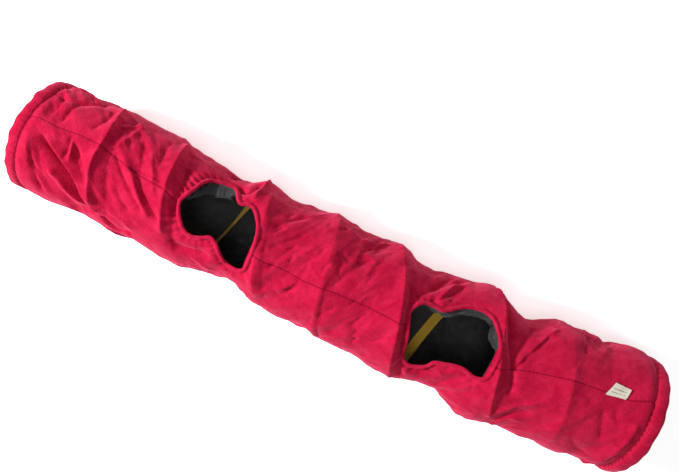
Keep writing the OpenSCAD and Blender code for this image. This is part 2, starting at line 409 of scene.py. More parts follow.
# Short creases that slant the other way over the middle bays
SHORT_CREASES = 34
chance = np.random.default_rng(23)
for _ in range(SHORT_CREASES):
    x, a = chance.uniform(-135, 140), chance.uniform(-62, 50)
    length, slope = chance.uniform(16, 36), math.radians(chance.normal(63, 12))
    dx, dv = math.cos(slope) * length / 2, math.sin(slope) * length / 2
    v = spot(x, a)[1]
    line = smooth_line([(x - dx, v - dv), (x + chance.uniform(-3, 3), v), (x + dx, v + dv)])
    add_fold(folds, line, chance.uniform(-4.2, -1.8), chance.uniform(2.6, 4),
             chance.uniform(4, 8), taper=9)

# The far side and the parts near the floor crease like the rest
SIDE_CREASES = 150
chance = np.random.default_rng(41)
for _ in range(SIDE_CREASES):
    x, a = chance.uniform(-600, 600), chance.uniform(50, 165) * chance.choice([-1, 1])
    length, slope = chance.uniform(25, 60), math.radians(chance.normal(70, 22))
    dx, dv = math.cos(slope) * length / 2, -math.sin(slope) * length / 2
    bend = chance.uniform(-8, 8)
    v = spot(x, a)[1]
    line = smooth_line([(x - dx, v - dv), (x + bend, v), (x + dx, v + dv)])
    add_fold(folds, line, chance.uniform(-3.2, 1.6) * (0.6 if abs(a) < 75 else 1),
             chance.uniform(5, 10), chance.uniform(5, 10))

# Small creases everywhere, finer at the left end, where the cloth is drawn tighter
tight = np.interp(cloth_x, [-620, -330, -150, 150, 400, 620], [1.0, 0.9, 0.75, 0.8, 0.85, 0.8])[:, None]


def sharp(field):
    """Turns a smooth field into rounded planes that meet at sharp crests."""
    return 0.6 - abs(field) * 1.5


left_share = np.clip((-130 - X) / 260, 0, 1)  # 1 at the left end, 0 from the third bay on
left_share = left_share**2 * (3 - 2 * left_share)
calm = np.clip(0.75 + 0.9 * crumple(60, 60, 0, 11), 0.15, 1.4)
creases = left_share * (5.2 * sharp(crumple(120, 24, -37, 5)) + 2.2 * sharp(crumple(46, 11, -48, 6)))
creases += (1 - left_share) * (3.3 * sharp(crumple(80, 26, 58, 9)) + 1.7 * sharp(crumple(32, 11, 62, 10)))
creases = calm * tight * quiet * creases * (0.4 + 0.6 * hang) + 0.30 * crumple(11, 8, 0, 7)
creases -= creases.mean()

# The seam along the top
SEAM = [(-640, 13), (-606, 17), (-566, 17), (-526, 19), (-478, 18), (-408, 11), (-371, 9),
        (-338, 8), (-300, 2), (-139, -10), (-86, -10), (-45, -11), (16, -8), (71, -7), (150, -6),
        (330, -4), (351, -3), (396, 6), (467, 15), (518, 19), (583, 23), (615, 30), (640, 30)]
seam_line = smooth_line([spot(x, a) for x, a in SEAM], step=12)
seam_d, seam_run, _ = from_line(seam_line, X, V)
pucker = 0.5 + 0.5 * np.sin(seam_run / 7.5 * 2 * math.pi + 2.2 * crumple(60, 60, 0, 8))
seam = -1.3 * np.exp(-(seam_d / 2.4) ** 2) - 0.55 * pucker * np.exp(-(seam_d / 7.0) ** 2)

# The cover is drawn in and held flat where it runs on under the end hems
edge = np.clip((hem_start - abs(X)) / 18, 0, 1)
drawn_in = 5.0 + 1.6 * (X > 0) * np.clip(0.3 - A, 0, 1)  # most at the right end's near side
# a fold can't sink far where the coil lies under it
deepest = -9 - 1.2 * np.clip(gap * 72.5 - 3, 0, None)
folded = np.maximum(folds + creases, deepest)
radius += folded * (0.25 + 0.75 * edge) + seam - drawn_in * (1 - edge) ** 2.5

# Peepholes: the sewn edge of each as (x, degrees from the top)
PEEPHOLES = {
    3: [(-298, 14), (-283, 36), (-260, 44), (-237, 47), (-219, 32), (-205, 27), (-191, 31),
        (-170, 22), (-154, 7), (-149, -17), (-154, -30), (-181, -33), (-196, -27), (-211, -17),
        (-231, -12), (-243, -17), (-265, -20), (-283, -15), (-306, 3)],
    6: [(161, 9), (174, 19), (192, 22), (214, 21), (236, 30), (253, 36), (277, 38), (301, 34),
        (318, 23), (330, 10), (332, -6), (329, -17), (310, -21), (291, -18), (262, -23),
        (236, -29), (231, -38), (211, -43), (188, -40), (178, -17), (167, -2)],
}
EDGE_HALF = 3.4  # mm, half the width of the sewn edge
edge_lines, beyond_edge = {}, {}
for bay, points in PEEPHOLES.items():
    line = smooth_line([spot(x, a) for x, a in points], closed=True, step=4)
    for _ in range(2):
        line = (np.roll(line, 1, 0) + 2 * line + np.roll(line, -1, 0)) / 4
    ahead = np.roll(line, -1, 0) - np.roll(line, 1, 0)
    out = np.stack([ahead[:, 1], -ahead[:, 0]], 1) / np.linalg.norm(ahead, axis=1)[:, None]
    turn = np.sum(line[:, 0] * np.roll(line[:, 1], -1) - np.roll(line[:, 0], -1) * line[:, 1])
    if turn < 0:
        out = -out
    edge_lines[bay] = line + out * EDGE_HALF
    d, run, length = from_line(edge_lines[bay], X, V, closed=True)
    beyond = d if turn < 0 else -d
    beyond_edge[bay] = beyond  # mm outside the sewn edge, negative in the opening
    away = np.clip(beyond, 0, None)
    waves = round(length / 12)
    ripple = np.sin(run / length * waves * 2 * math.pi + 2.4 * crumple(50, 50, 0, 20 + bay))
    across_bay = stations[bay - 1] + np.array([20, 50, 90, 150, 175])
    strength = np.interp(X, across_bay, [2.9, 2.3, 1.3, 1.0, 1.6])
    strength = strength * np.clip(0.75 + 0.55 * crumple(34, 34, 0, 30 + bay), 0.1, 1.5)
    grown = 1 - 0.85 * np.exp(-((away / 6) ** 2))
    fading = np.exp(-away / np.interp(X, [-300, -240], [22, 12]))
    near_edge = beyond > -9
    radius += ripple * strength * grown * fading * near_edge
    radius -= 3.4 * np.exp(-((away - 5) / 7) ** 2) * near_edge



def rest_on_floor(z):
    """Heights that settle softly on the sole's height instead of going below it."""
    lift = (z - SOLE_Z) / 1.5
    return SOLE_Z + 1.5 * np.where(lift > 20, lift, np.log1p(np.exp(np.minimum(lift, 20))))


# Place the cloth: round its own middle line, and flat on the floor
COVER_SIDES = (-136.5, 137.3)  # mm, as far as the folds stand out
cloth = np.stack([X, lie(X) + radius * np.sin(A), AXIS_Z + radius * np.cos(A)], -1)
cloth[..., 2] = rest_on_floor(cloth[..., 2])
cloth[..., 1] = np.clip(cloth[..., 1], *COVER_SIDES)
cloth[:, -1] = cloth[:, 0]


def outward(points):
    """Unit normals of a cloth that is rolled shut in its second direction."""
    p = points[:, :-1]
    along = np.gradient(p, axis=0)
    across = np.roll(p, -1, 1) - np.roll(p, 1, 1)
    n = np.cross(across, along)
    n /= np.linalg.norm(n, axis=-1, keepdims=True) + 1e-12
    return np.concatenate([n, n[:, :1]], 1)


cloth_n = outward(cloth)
if np.sum(cloth_n[..., 2] * np.cos(A)) < 0:
    cloth_n = -cloth_n


def on_cloth(x, v):
    """Point and normal on the cover at x and v mm round from the top."""
    i = np.interp(x, cloth_x, np.arange(len(cloth_x)))
    j = (np.asarray(v) / COVER_R + math.pi) / (2 * math.pi) * ROUND
    i0, j0 = np.clip(np.floor(i).astype(int), 0, len(cloth_x) - 2), np.floor(j).astype(int) % ROUND
    u, w = (i - i0)[..., None], (j - np.floor(j))[..., None]
    return [
        (1 - u) * (1 - w) * f[i0, j0] + u * (1 - w) * f[i0 + 1, j0]
        + (1 - u) * w * f[i0, j0 + 1] + u * w * f[i0 + 1, j0 + 1]
        for f in (cloth, cloth_n)
    ]


def made_piece(name, bm, material):
    """The object of a finished bmesh, in its material."""
    mesh = bpy.data.meshes.new(name)
    bm.to_mesh(mesh)
    bm.free()
    mesh.materials.append(material)
    piece = bpy.data.objects.new(name, mesh)
    bpy.context.collection.objects.link(piece)
    return piece


def piece_of_cloth(name, points, normals, thick, material, dropped=None, shut=True):
    """A woven piece: a grid laid on the points (mm), with its wall turned in by its thickness."""
    rows, cols = points.shape[:2]
    bm = bmesh.new()
    bmesh.ops.create_grid(bm, x_segments=cols - 1, y_segments=rows - 1, size=1)
    number = bm.verts.layers.int.new("number")
    bm.verts.ensure_lookup_table()
    for k, vert in enumerate(bm.verts):
        vert[number] = k
        vert.co = points[k // cols, k % cols] * MM
    if dropped is not None:
        gone = [f for f in bm.faces
                if dropped[min(v[number] // cols for v in f.verts), min(v[number] % cols for v in f.verts)]]
        bmesh.ops.delete(bm, geom=gone, context="FACES")
    if shut:
        sides = [v for v in bm.verts if v[number] % cols in (0, cols - 1)]
        bmesh.ops.remove_doubles(bm, verts=sides, dist=1e-7)
    outer = set(bm.verts)
    bmesh.ops.extrude_face_region(bm, geom=bm.faces[:], use_keep_orig=True)
    flat_n = normals.reshape(-1, 3)
    turned = []
    for vert in bm.verts:
        n = Vector(flat_n[vert[number]])
        if vert not in outer:
            vert.co -= n * (thick * MM)
            n = -n
        turned.append(n)
    bmesh.ops.recalc_face_normals(bm, faces=bm.faces)
    for face in bm.faces:
        face.smooth = True
    piece = made_piece(name, bm, material)
    piece.data.normals_split_custom_set_from_vertices(turned)
    return piece


def group_of_nodes(name, inputs, outputs):
    """A new shader group with its sockets, and its input and output nodes."""
    tree = bpy.data.node_groups.new(name, "ShaderNodeTree")
    for label, kind, value in inputs:
        socket = tree.interface.new_socket(label, in_out="INPUT", socket_type=kind)
        socket.default_value = value
    for label, kind in outputs:
        tree.interface.new_socket(label, in_out="OUTPUT", socket_type=kind)
    return tree, tree.nodes.new("NodeGroupInput"), tree.nodes.new("NodeGroupOutput")


def joined(tree, kind, settings, **sources):
    """A node with its settings and with its inputs joined or set."""
    node = tree.nodes.new(kind)
    for key, value in settings.items():
        setattr(node, key, value)
    for key, source in sources.items():
        by_number = key[0] == "i" and key[1:].isdigit()
        socket = node.inputs[int(key[1:]) if by_number else key]
        if isinstance(source, bpy.types.NodeSocket):
            tree.links.new(source, socket)
        else:
            socket.default_value = source
    return node


SURFACE_OUTPUTS = [("Colour", "NodeSocketColor"), ("Height", "NodeSocketFloat"), ("Roughness", "NodeSocketFloat")]

# Nap: pile that is brushed this way and that in soft patches, over a fine fleck
nap, given, result = group_of_nodes(
    "nap",
    [("Colour", "NodeSocketColor", (0.5, 0.1, 0.1, 1)),
     ("Brushed Colour", "NodeSocketColor", (0.8, 0.2, 0.2, 1)),
     ("Deep Colour", "NodeSocketColor", (0.2, 0.0, 0.0, 1)),
     ("Patch Scale", "NodeSocketFloat", 30.0),
     ("Fleck Scale", "NodeSocketFloat", 700.0)],
    SURFACE_OUTPUTS,
)
place = joined(nap, "ShaderNodeTexCoord", {})
patches = joined(nap, "ShaderNodeTexNoise", {}, Vector=place.outputs["Object"],
                 Scale=given.outputs["Patch Scale"], Detail=5.0, Roughness=0.68, Distortion=0.6)
flecks = joined(nap, "ShaderNodeTexNoise", {}, Vector=place.outputs["Object"],
                Scale=given.outputs["Fleck Scale"], Detail=2.0, Roughness=0.7)
tufts = joined(nap, "ShaderNodeTexVoronoi", {"feature": "F1"}, Vector=place.outputs["Object"], Scale=330.0)
brushed = joined(nap, "ShaderNodeMapRange", {}, Value=patches.outputs["Fac"],
                 i1=0.38, i2=0.66, i3=0.0, i4=1.0)
flecked = joined(nap, "ShaderNodeMapRange", {}, Value=flecks.outputs["Fac"],
                 i1=0.35, i2=0.7, i3=0.0, i4=1.0)
light = joined(nap, "ShaderNodeMix", {"data_type": "RGBA"}, Factor=brushed.outputs[0])
nap.links.new(given.outputs["Colour"], light.inputs[6])
nap.links.new(given.outputs["Brushed Colour"], light.inputs[7])
fleck_share = joined(nap, "ShaderNodeMath", {"operation": "MULTIPLY"}, i0=flecked.outputs[0], i1=0.45)
deepened = joined(nap, "ShaderNodeMix", {"data_type": "RGBA"}, Factor=fleck_share.outputs[0])
nap.links.new(light.outputs[2], deepened.inputs[6])
nap.links.new(given.outputs["Deep Colour"], deepened.inputs[7])
nap.links.new(deepened.outputs[2], result.inputs["Colour"])
rough = joined(nap, "ShaderNodeMath", {"operation": "MULTIPLY_ADD"}, i0=brushed.outputs[0], i1=-0.15, i2=0.95)
nap.links.new(rough.outputs[0], result.inputs["Roughness"])
pile = joined(nap, "ShaderNodeMath", {"operation": "MULTIPLY_ADD"}, i0=flecks.outputs["Fac"], i1=0.7, i2=0.0)
height = joined(nap, "ShaderNodeMath", {"operation": "ADD"}, i0=pile.outputs[0], i1=tufts.outputs["Distance"])
nap.links.new(height.outputs[0], result.inputs["Height"])


def finish_material(name, shader_values, group=None, group_values=None, bump=(0.0, 0.0)):
    """A material whose colour, roughness and bump come from a shared group."""
    material = bpy.data.materials.new(name)
    material.use_nodes = True
    tree = material.node_tree
    shader = tree.nodes["Principled BSDF"]
    for label, value in shader_values.items():
        shader.inputs[label].default_value = value
    if group:
        effect = tree.nodes.new("ShaderNodeGroup")
        effect.node_tree = group
        for label, value in group_values.items():
            effect.inputs[label].default_value = value
        tree.links.new(effect.outputs["Colour"], shader.inputs["Base Color"])
        tree.links.new(effect.outputs["Roughness"], shader.inputs["Roughness"])
        raised = tree.nodes.new("ShaderNodeBump")
        raised.inputs["Strength"].default_value = bump[0]
        raised.inputs["Distance"].default_value = bump[1]
        tree.links.new(effect.outputs["Height"], raised.inputs["Height"])
        tree.links.new(raised.outputs["Normal"], shader.inputs["Normal"])
    return material


PLUSH_SHADER = {"Sheen Weight": 0.34, "Sheen Roughness": 0.45, "Sheen Tint": (1.0, 0.15, 0.30, 1),
                "Specular IOR Level": 0.05}
PLUSH_NAP = {"Colour": (0.385, 0.004, 0.033, 1), "Brushed Colour": (0.51, 0.011, 0.053, 1),
             "Deep Colour": (0.22, 0.0, 0.011, 1), "Patch Scale": 38.0, "Fleck Scale": 620.0}
plush = finish_material("red_plush", PLUSH_SHADER, nap, PLUSH_NAP, bump=(0.5, 0.001))

# The plush of the tube itself, with a thin line of painted shade along the groove of its seam
plush_with_seam_shade = finish_material("red_plush_with_painted_seam_shade", PLUSH_SHADER, nap, PLUSH_NAP, bump=(0.5, 0.001))
tree = plush_with_seam_shade.node_tree
effect = next(n for n in tree.nodes if n.type == "GROUP")
shader = tree.nodes["Principled BSDF"]
raised = next(n for n in tree.nodes if n.type == "BUMP")
# painted shade: within about 2 mm of the seam the plush is mixed towards a near-black red, standing in for the
# shadow in the seam's narrow groove
beside = joined(tree, "ShaderNodeAttribute", {"attribute_name": "mm_from_seam"})
width = joined(tree, "ShaderNodeMath", {"operation": "ABSOLUTE"}, i0=beside.outputs["Fac"])
seam_shade_mask = joined(tree, "ShaderNodeMapRange", {"interpolation_type": "SMOOTHSTEP"}, Value=width.outputs[0],
                   i1=0.5, i2=1.9, i3=0.62, i4=0.0)
seam_shade_mix = joined(tree, "ShaderNodeMix", {"data_type": "RGBA"}, Factor=seam_shade_mask.outputs[0])
tree.links.new(effect.outputs["Colour"], seam_shade_mix.inputs[6])
seam_shade_mix.inputs[7].default_value = (0.11, 0.0, 0.008, 1)
tree.links.new(seam_shade_mix.outputs[2], shader.inputs["Base Color"])

clear_ends = {}  # where each bay starts and ends between the bands, mm
for bay in range(1, BAYS + 1):
    start = stations[bay - 1] + (0 if bay == 1 else FLEX / 2)
    end = stations[bay] - (0 if bay == BAYS else FLEX / 2)
    clear_ends[bay] = (start, end)


def shorten(piece, bay, side):
    """Ride a soft piece on the body at one side of its bay, with its own copy of its mesh."""
    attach(piece, f"bay_{bay}_{side}")
    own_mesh(piece)


def turn_with_bend(piece):
    """Bake the placement of a soft piece that crosses a turn of the coil into its mesh."""
    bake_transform(piece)


def bay_rows(bay, lap=0.0):
    """Lines of the cloth in a bay, with a lap under the end hems."""
    start, end = clear_ends[bay]
    return slice(row_at(start - (lap if bay == 1 else 0)), row_at(end + (lap if bay == BAYS else 0)) + 1)


def band_rows(band):
    return slice(row_at(stations[band] - FLEX / 2), row_at(stations[band] + FLEX / 2) + 1)


def hole_cut(bay, rows):
    """Faces of the cloth inside the sewn edge, and the points along that cut."""
    inside = beyond_edge[bay][rows] < 0
    dropped = inside[:-1, :-1] & inside[1:, :-1] & inside[:-1, 1:] & inside[1:, 1:]
    kept = ~dropped
    touches_kept = np.zeros(inside.shape, bool)
    touches_dropped = np.zeros(inside.shape, bool)
    for di in (0, 1):
        for dj in (0, 1):
            touches_kept[di:di + kept.shape[0], dj:dj + kept.shape[1]] |= kept
            touches_dropped[di:di + kept.shape[0], dj:dj + kept.shape[1]] |= dropped
    return dropped, touches_kept & touches_dropped


def drawn_to_edge(bay, rows, points, sample, rim):
    """The cloth with the rim of its cut moved onto the middle of the sewn edge."""
    line = edge_lines[bay]
    dense = np.concatenate([line + (np.roll(line, -1, 0) - line) * t for t in np.linspace(0, 0.9, 10)])
    points = points.copy()
    for i, j in zip(*np.nonzero(rim)):
        x, v = X[rows][i, j], V[rows][i, j]
        nearest = dense[np.argmin(np.hypot(dense[:, 0] - x, dense[:, 1] - v))]
        points[i, j] = sample(nearest[0], nearest[1])
    return points


def mark_points(piece, name, values):
    """Keeps a value at each point of a piece of cloth, for its material to read."""
    mesh = piece.data
    number = np.empty(len(mesh.vertices), np.int32)
    mesh.attributes["number"].data.foreach_get("value", number)
    mark = mesh.attributes.new(name, "FLOAT", "POINT")
    mark.data.foreach_set("value", values.ravel()[number].astype(np.float32))


for bay in range(1, BAYS + 1):
    rows = bay_rows(bay, LAP)
    points, dropped = cloth[rows], None
    if bay in HOLE_BAYS:
        dropped, rim = hole_cut(bay, rows)
        points = drawn_to_edge(bay, rows, points, lambda x, v: on_cloth(x, v)[0], rim)
    piece = piece_of_cloth(f"plush_bay_{bay}", points, cloth_n[rows], COVER_THICK, plush_with_seam_shade, dropped)
    mark_points(piece, "mm_from_seam", seam_d[rows])
    shorten(piece, bay, "left")
    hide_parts(f"cover_bay_{bay}")

for band in range(1, BAYS):
    rows = band_rows(band)
    piece = piece_of_cloth(f"plush_band_{band}", cloth[rows], cloth_n[rows], COVER_THICK, plush_with_seam_shade)
    mark_points(piece, "mm_from_seam", seam_d[rows])
    turn_with_bend(piece)
    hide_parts(f"cover_flex_band_{band}")

# ---------------------------------------------------------------- end hems
# The cover turned in over a wire ring at each end and sewn down, so that it
# stands up as a soft roll with small puckers at the stitching.
HEM_OUTER = 120.2  # mm, radius of the roll outside
HEM_INNER = 112.4  # and inside
HEM_THICK = 1.4
HEM_ROUND = 480  # points round the hem
HEM_GATHERS = 58
HEM_SIDES = (-137.3, 137.5)  # mm
# from the stitching over the roll to the inside, as (mm from the stitching, radius)
hem_profile = [(-1.5, HEM_OUTER - 6.6), (0.8, HEM_OUTER - 3.6), (3.6, HEM_OUTER - 0.9), (9, HEM_OUTER + 0.2),
               (15, HEM_OUTER + 0.1), (20, HEM_OUTER - 0.8), (23.6, HEM_OUTER - 2.8), (24.6, HEM_OUTER - 4.6),
               (24.0, HEM_OUTER - 6.4), (20, HEM_INNER + 0.2), (14, HEM_INNER - 0.3), (7, HEM_INNER + 0.2),
               (2.5, HEM_INNER + 1.2), (0.5, HEM_INNER + 1.8)]
hem_line = smooth_line(hem_profile, step=1.6)
hem_a = np.linspace(-math.pi, math.pi, HEM_ROUND + 1)
hem_radius_shift = {"left": -4.2, "right": -0.4}  # the left end is drawn smaller


def hem_surface(side):
    """Points of a hem, along its profile and round the tunnel, in mm."""
    sign = -1 if side == "left" else 1
    along = np.linspace(0, 1, len(hem_line))[:, None]
    a = hem_a[None, :]
    rng = np.random.default_rng(51 if side == "left" else 52)
    wave = sum(rng.uniform(0.2, 1) * np.sin(n * a + rng.uniform(0, 6.3)) for n in (5, 8, 11, 13, 17, 23))
    gather = np.sin(HEM_GATHERS * a + 2.4 * np.sin(3 * a + 1) + 1.7 * np.sin(7 * a))
    near_seam = np.exp(-((hem_line[:, 0][:, None] - 1) / 7) ** 2) * (hem_line[:, 1][:, None] > 115)
    r = hem_line[:, 1][:, None] + hem_radius_shift[side]
    if side == "right":
        r = r - 2.8 * np.exp(-((np.arange(len(hem_line)) / 2.5) ** 2))[:, None]
    r = r + near_seam * (0.7 * gather - 0.3) + 0.35 * wave * np.sin(along * math.pi) ** 0.5
    kink = 0.7 if side == "left" else 0.3
    x = sign * (hem_start + 0.8 + hem_line[:, 0][:, None] + kink * (wave - 1.2) * np.sin(along * math.pi))
    y = lie(x) + r * np.sin(a)
    z = rest_on_floor(AXIS_Z + r * np.cos(a))
    surface = np.stack(np.broadcast_arrays(x, y, z), -1).copy()
    surface[..., 1] = np.clip(surface[..., 1], *HEM_SIDES)
    surface[:, -1] = surface[:, 0]
    return surface


hem_rings = {}
for side, body in (("left", "bay_1_left"), ("right", "bay_8_right")):
    surface = hem_surface(side)
    normal = outward(surface)
    if normal[5, HEM_ROUND // 2, 2] < 0:
        normal = -normal
    piece = piece_of_cloth(f"{side}_rim_hem", surface, normal, HEM_THICK, plush)
    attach(piece, body)
    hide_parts(f"{side}_end_hem")
    hem_rings[side] = (surface, normal)

# ---------------------------------------------------------------- lining
# Thin crackling nylon inside the cover, near black with a dull gloss, that
# hangs loose between the turns of the coil and is sewn in at every edge.
LINING_THICK = 0.5
LINING_GAP = 0.9  # mm, between the cover and the lining where it is drawn tight
# creases that show through the peepholes, as (x, degrees from the top), and how far they stand in
LINING_CREASES = [
    ([(-226, -104), (-204, -118), (-186, -138)], 9),
    ([(-214, -92), (-192, -106), (-168, -122)], 8),
    ([(-206, -128), (-190, -112), (-180, -96)], 7),
    ([(214, -120), (250, -128), (284, -122)], 6),
]
slack = 0.9 * crumple(30, 12, -50, 61) + 0.8 * crumple(16, 9, 20, 62)
slack = np.clip(slack + 1.2, 0.0, 3.6) * np.clip(gap * 3, 0.15, 1)
for points, height in LINING_CREASES:
    add_fold(slack, smooth_line([(x, COVER_R * math.radians(a)) for x, a in points]), height, 5, 8)
lining = cloth - cloth_n * (COVER_THICK + LINING_GAP + slack)[..., None]
# beside each peephole the lining hangs in a loose loop that shows inside the edge
LOOPS = {3: 31.0, 6: 24.0}  # mm
for bay, size in LOOPS.items():
    beyond = beyond_edge[bay]
    near = np.clip(beyond, 0, None)
    centre = edge_lines[bay].mean(0)
    toward = np.stack([centre[0] - X, centre[1] - V], -1)
    toward /= np.linalg.norm(toward, axis=-1, keepdims=True) + 1e-9
    # only along the far edge, and at the left peephole only over its left half
    if bay == 3:
        facing = np.clip(-toward[..., 1] * 1.6 + 0.05, 0, 1) * np.clip((-222 - X) / 12, 0, 1)
    else:
        facing = np.clip(-toward[..., 1] * 1.25 - 0.15 - 0.25 * toward[..., 0], 0, 1)
    bulge = (near / 13) * np.exp(1 - near / 13) * (beyond > 0) * (near < 90)
    amount = size * facing * bulge * (1 + 0.12 * crumple(30, 30, 0, 63))
    across = np.stack([np.zeros_like(A), np.cos(A), -np.sin(A)], -1)
    lining = lining + amount[..., None] * (toward[..., :1] * np.array([1.0, 0, 0]) + toward[..., 1:] * across)
    lining = lining - (0.55 * amount)[..., None] * cloth_n
lining[:, -1] = lining[:, 0]
lining[..., 2] = np.maximum(lining[..., 2], SOLE_Z + COVER_THICK + 0.6)
lining_n = outward(lining)
if np.sum(lining_n[..., 2] * np.cos(A)) < 0:
    lining_n = -lining_n

# Weave: crossed threads, with sharp crinkles under them
weave, given, result = group_of_nodes(
    "weave",
    [("Colour", "NodeSocketColor", (0.5, 0.5, 0.5, 1)),
     ("Thread Colour", "NodeSocketColor", (0.6, 0.6, 0.6, 1)),
     ("Thread Scale", "NodeSocketFloat", 900.0),
     ("Crinkle Scale", "NodeSocketFloat", 40.0),
     ("Crinkle", "NodeSocketFloat", 1.0),
     ("Base Roughness", "NodeSocketFloat", 0.5)],
    SURFACE_OUTPUTS,
)
place = joined(weave, "ShaderNodeTexCoord", {})
threads = []
for direction in ("X", "Y"):
    bands = joined(weave, "ShaderNodeTexWave", {"bands_direction": direction}, Vector=place.outputs["UV"],
                   Scale=given.outputs["Thread Scale"], Distortion=0.4, Detail=1.0)
    threads.append(bands.outputs["Fac"])
cross = joined(weave, "ShaderNodeMath", {"operation": "MULTIPLY"}, i0=threads[0], i1=threads[1])
crinkles = joined(weave, "ShaderNodeTexNoise", {"noise_type": "RIDGED_MULTIFRACTAL"},
                  Vector=place.outputs["Object"], Scale=given.outputs["Crinkle Scale"],
                  Detail=4.0, Roughness=0.55)
shade = joined(weave, "ShaderNodeMix", {"data_type": "RGBA"}, Factor=cross.outputs[0])
weave.links.new(given.outputs["Colour"], shade.inputs[6])
weave.links.new(given.outputs["Thread Colour"], shade.inputs[7])
weave.links.new(shade.outputs[2], result.inputs["Colour"])
crinkled = joined(weave, "ShaderNodeMath", {"operation": "MULTIPLY"},
                  i0=crinkles.outputs["Fac"], i1=given.outputs["Crinkle"])
relief = joined(weave, "ShaderNodeMath", {"operation": "MULTIPLY_ADD"},
                i0=cross.outputs[0], i1=0.25, i2=crinkled.outputs[0])
weave.links.new(relief.outputs[0], result.inputs["Height"])
dull = joined(weave, "ShaderNodeMath", {"operation": "MULTIPLY_ADD"}, i0=cross.outputs[0], i1=0.12,
              i2=given.outputs["Base Roughness"])
weave.links.new(dull.outputs[0], result.inputs["Roughness"])

nylon = finish_material(
    "black_nylon",
    {"Sheen Weight": 0.12, "Sheen Roughness": 0.3, "Specular IOR Level": 0.55},
    weave,
    {"Colour": (0.0185, 0.0195, 0.0225, 1), "Thread Colour": (0.05, 0.053, 0.060, 1), "Thread Scale": 700.0,
     "Crinkle Scale": 38.0, "Crinkle": 1.4, "Base Roughness": 0.34},
    bump=(1.0, 0.005),
)


def lay_pattern(piece):
    """UV map in metres: along the tunnel, and round it."""
    mesh = piece.data
    uv = mesh.uv_layers.new(name="cut")
    co = np.empty(len(mesh.vertices) * 3)
    mesh.vertices.foreach_get("co", co)
    co = co.reshape(-1, 3)
    corner = np.empty(len(mesh.loops), int)
    mesh.loops.foreach_get("vertex_index", corner)
    turn = np.arctan2(co[:, 1], co[:, 2] - AXIS_Z * MM) * COVER_R * MM
    flat = np.stack([co[:, 0], turn], 1)[corner]
    uv.data.foreach_set("uv", flat.ravel())


def on_lining(x, v):
    """Point of the lining at x and v mm round from the top."""
    i = np.interp(x, cloth_x, np.arange(len(cloth_x)))
    j = int((v / COVER_R + math.pi) / (2 * math.pi) * ROUND) % ROUND
    return lining[int(i), j]


for bay in range(1, BAYS + 1):
    rows = bay_rows(bay)
    points, dropped = lining[rows], None
    if bay in HOLE_BAYS:
        dropped, rim = hole_cut(bay, rows)
        points = drawn_to_edge(bay, rows, points, on_lining, rim)
    piece = piece_of_cloth(f"nylon_bay_{bay}", points, lining_n[rows], LINING_THICK, nylon, dropped)
    lay_pattern(piece)
    shorten(piece, bay, "right")
    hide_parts(f"lining_bay_{bay}")
for band in range(1, BAYS):
    rows = band_rows(band)
    piece = piece_of_cloth(f"nylon_band_{band}", lining[rows], lining_n[rows], LINING_THICK, nylon)
    lay_pattern(piece)
    turn_with_bend(piece)
    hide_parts(f"lining_flex_band_{band}")

# ---------------------------------------------------------------- coil and its tape
# One long coil of spring-steel wire. A strip of olive tape is sewn to the
# lining over it all the way, and holds it in place.
WIRE_D = 2.4  # mm
TAPE_W = 21.0
TAPE_THICK = 0.8
OUTERMOST = 117.8  # the coil lies no further out

# distance from the axis to the inner face of the lining, with its small creases evened out
depth = np.hypot(lining[..., 1] - lie(lining[..., 0]), lining[..., 2] - AXIS_Z)[:, :-1] - LINING_THICK
for _ in range(4):  # the lowest within four cells
    depth = np.minimum(np.minimum(depth, np.roll(depth, 1, 0)), np.roll(depth, -1, 0))
    depth = np.minimum(np.minimum(depth, np.roll(depth, 1, 1)), np.roll(depth, -1, 1))
even = np.exp(-2 * (math.pi * 5.0) ** 2 * (np.fft.fftfreq(len(cloth_x), CELL)[:, None] ** 2
                                           + np.fft.fftfreq(ROUND, CELL)[None, :] ** 2))
depth = np.fft.ifft2(np.fft.fft2(depth) * even).real


def lining_depth(x, a):
    """Distance from the axis to the lining at x and the angle a from the top."""
    i = np.interp(x, cloth_x, np.arange(len(cloth_x)))
    j = (np.asarray(a) + math.pi) / (2 * math.pi) * ROUND
    i0, j0 = np.clip(np.floor(i).astype(int), 0, len(cloth_x) - 2), np.floor(j).astype(int)
    u, w = i - i0, j - j0
    j0, j1 = j0 % ROUND, (j0 + 1) % ROUND
    return ((1 - u) * (1 - w) * depth[i0, j0] + u * (1 - w) * depth[i0 + 1, j0]
            + (1 - u) * w * depth[i0, j1] + u * w * depth[i0 + 1, j1])


def coil_place(turns, offset, inset):
    """Points beside the coil at these turns, offset along the tunnel and inset from the lining."""
    a = -(turns % 1.0) * 2 * math.pi
    a = np.where(a <= -math.pi, a + 2 * math.pi, a)
    x = np.interp(turns, np.arange(BAYS + 1.0), stations) + offset
    r = np.minimum(lining_depth(np.clip(x, -hem_start, hem_start), a), OUTERMOST) - inset
    z = np.maximum(AXIS_Z + r * np.cos(a), SOLE_Z + COVER_THICK + LINING_THICK + 0.8 + inset)
    return np.stack(np.broadcast_arrays(x, lie(x) + r * np.sin(a), z), -1)


def from_axis(points):
    """Each point from the tunnel's middle line beside it."""
    axis = np.stack([points[..., 0], lie(points[..., 0]), np.full(points.shape[:-1], AXIS_Z)], -1)
    return points - axis


def beside_peephole(turns):
    """1 where the coil passes under the right-hand edge of a peephole, at the top."""
    past = (turns + 0.5) % 1 - 0.5  # turns from the top of the tunnel
    return np.isin(np.round(turns), HOLE_BAYS) * np.exp(-((past / 0.12) ** 4))


def on_edge(turns):
    """1 under the left peephole, where the tape stands on its edge in a fold of the lining."""
    return np.exp(-(((turns - 2.49) / 0.11) ** 4))


def thread_offset(turns, offset):
    """How far along X the coil, or a thread of its tape at this offset, lies off the plain helix."""
    under, stood = beside_peephole(turns), on_edge(turns)
    return offset * (1 - 0.65 * under * (offset < 0)) * (1 - 0.62 * stood) + 6.0 * under - 4.0 * stood


every_turn = np.linspace(0, BAYS, 8001)
helix_x = np.interp(every_turn, np.arange(BAYS + 1.0), stations)


